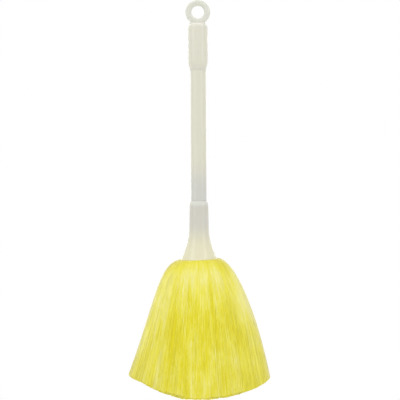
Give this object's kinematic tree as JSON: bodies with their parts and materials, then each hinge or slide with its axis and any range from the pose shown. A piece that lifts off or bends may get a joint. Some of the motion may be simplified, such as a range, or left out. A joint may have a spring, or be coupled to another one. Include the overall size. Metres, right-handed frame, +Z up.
{
  "type": "hand duster",
  "caption": "Short hand duster: a plastic tube handle with a hanging ring on its cap, and a flared bell that holds a full skirt of fine yellow fibre.",
  "frame": {"origin": "centre of the hang hole, half way between the ring's front and back", "axes": "+Z up along the handle, from the fibre head to the ring; +Y along the hang hole, towards the back; +X to the right in the picture"},
  "size_m": [0.1392, 0.0958, 0.3965],
  "materials": {
    "ivory_cap": "satin moulded polypropylene, slightly translucent",
    "milky_tube": "satin extruded polypropylene, milky",
    "ivory_bell": "satin moulded polypropylene, slightly translucent",
    "white_plug": "plain moulded plastic",
    "yellow_fibre": "fine dyed synthetic fibre",
    "zinc_wire": "zinc-plated soft wire"
  },
  "bodies": {
    "root": {"hang_cap": "ivory_cap", "shaft_tube": "milky_tube", "head_bell": "ivory_bell", "end_plug": "white_plug", "fibre_layer_1": "yellow_fibre", "fibre_layer_2": "yellow_fibre", "fibre_layer_3": "yellow_fibre", "fibre_layer_4": "yellow_fibre", "tie_wire_1": "zinc_wire", "tie_wire_2": "zinc_wire", "tie_wire_3": "zinc_wire", "tie_wire_4": "zinc_wire"}
  },
  "joints": []
}
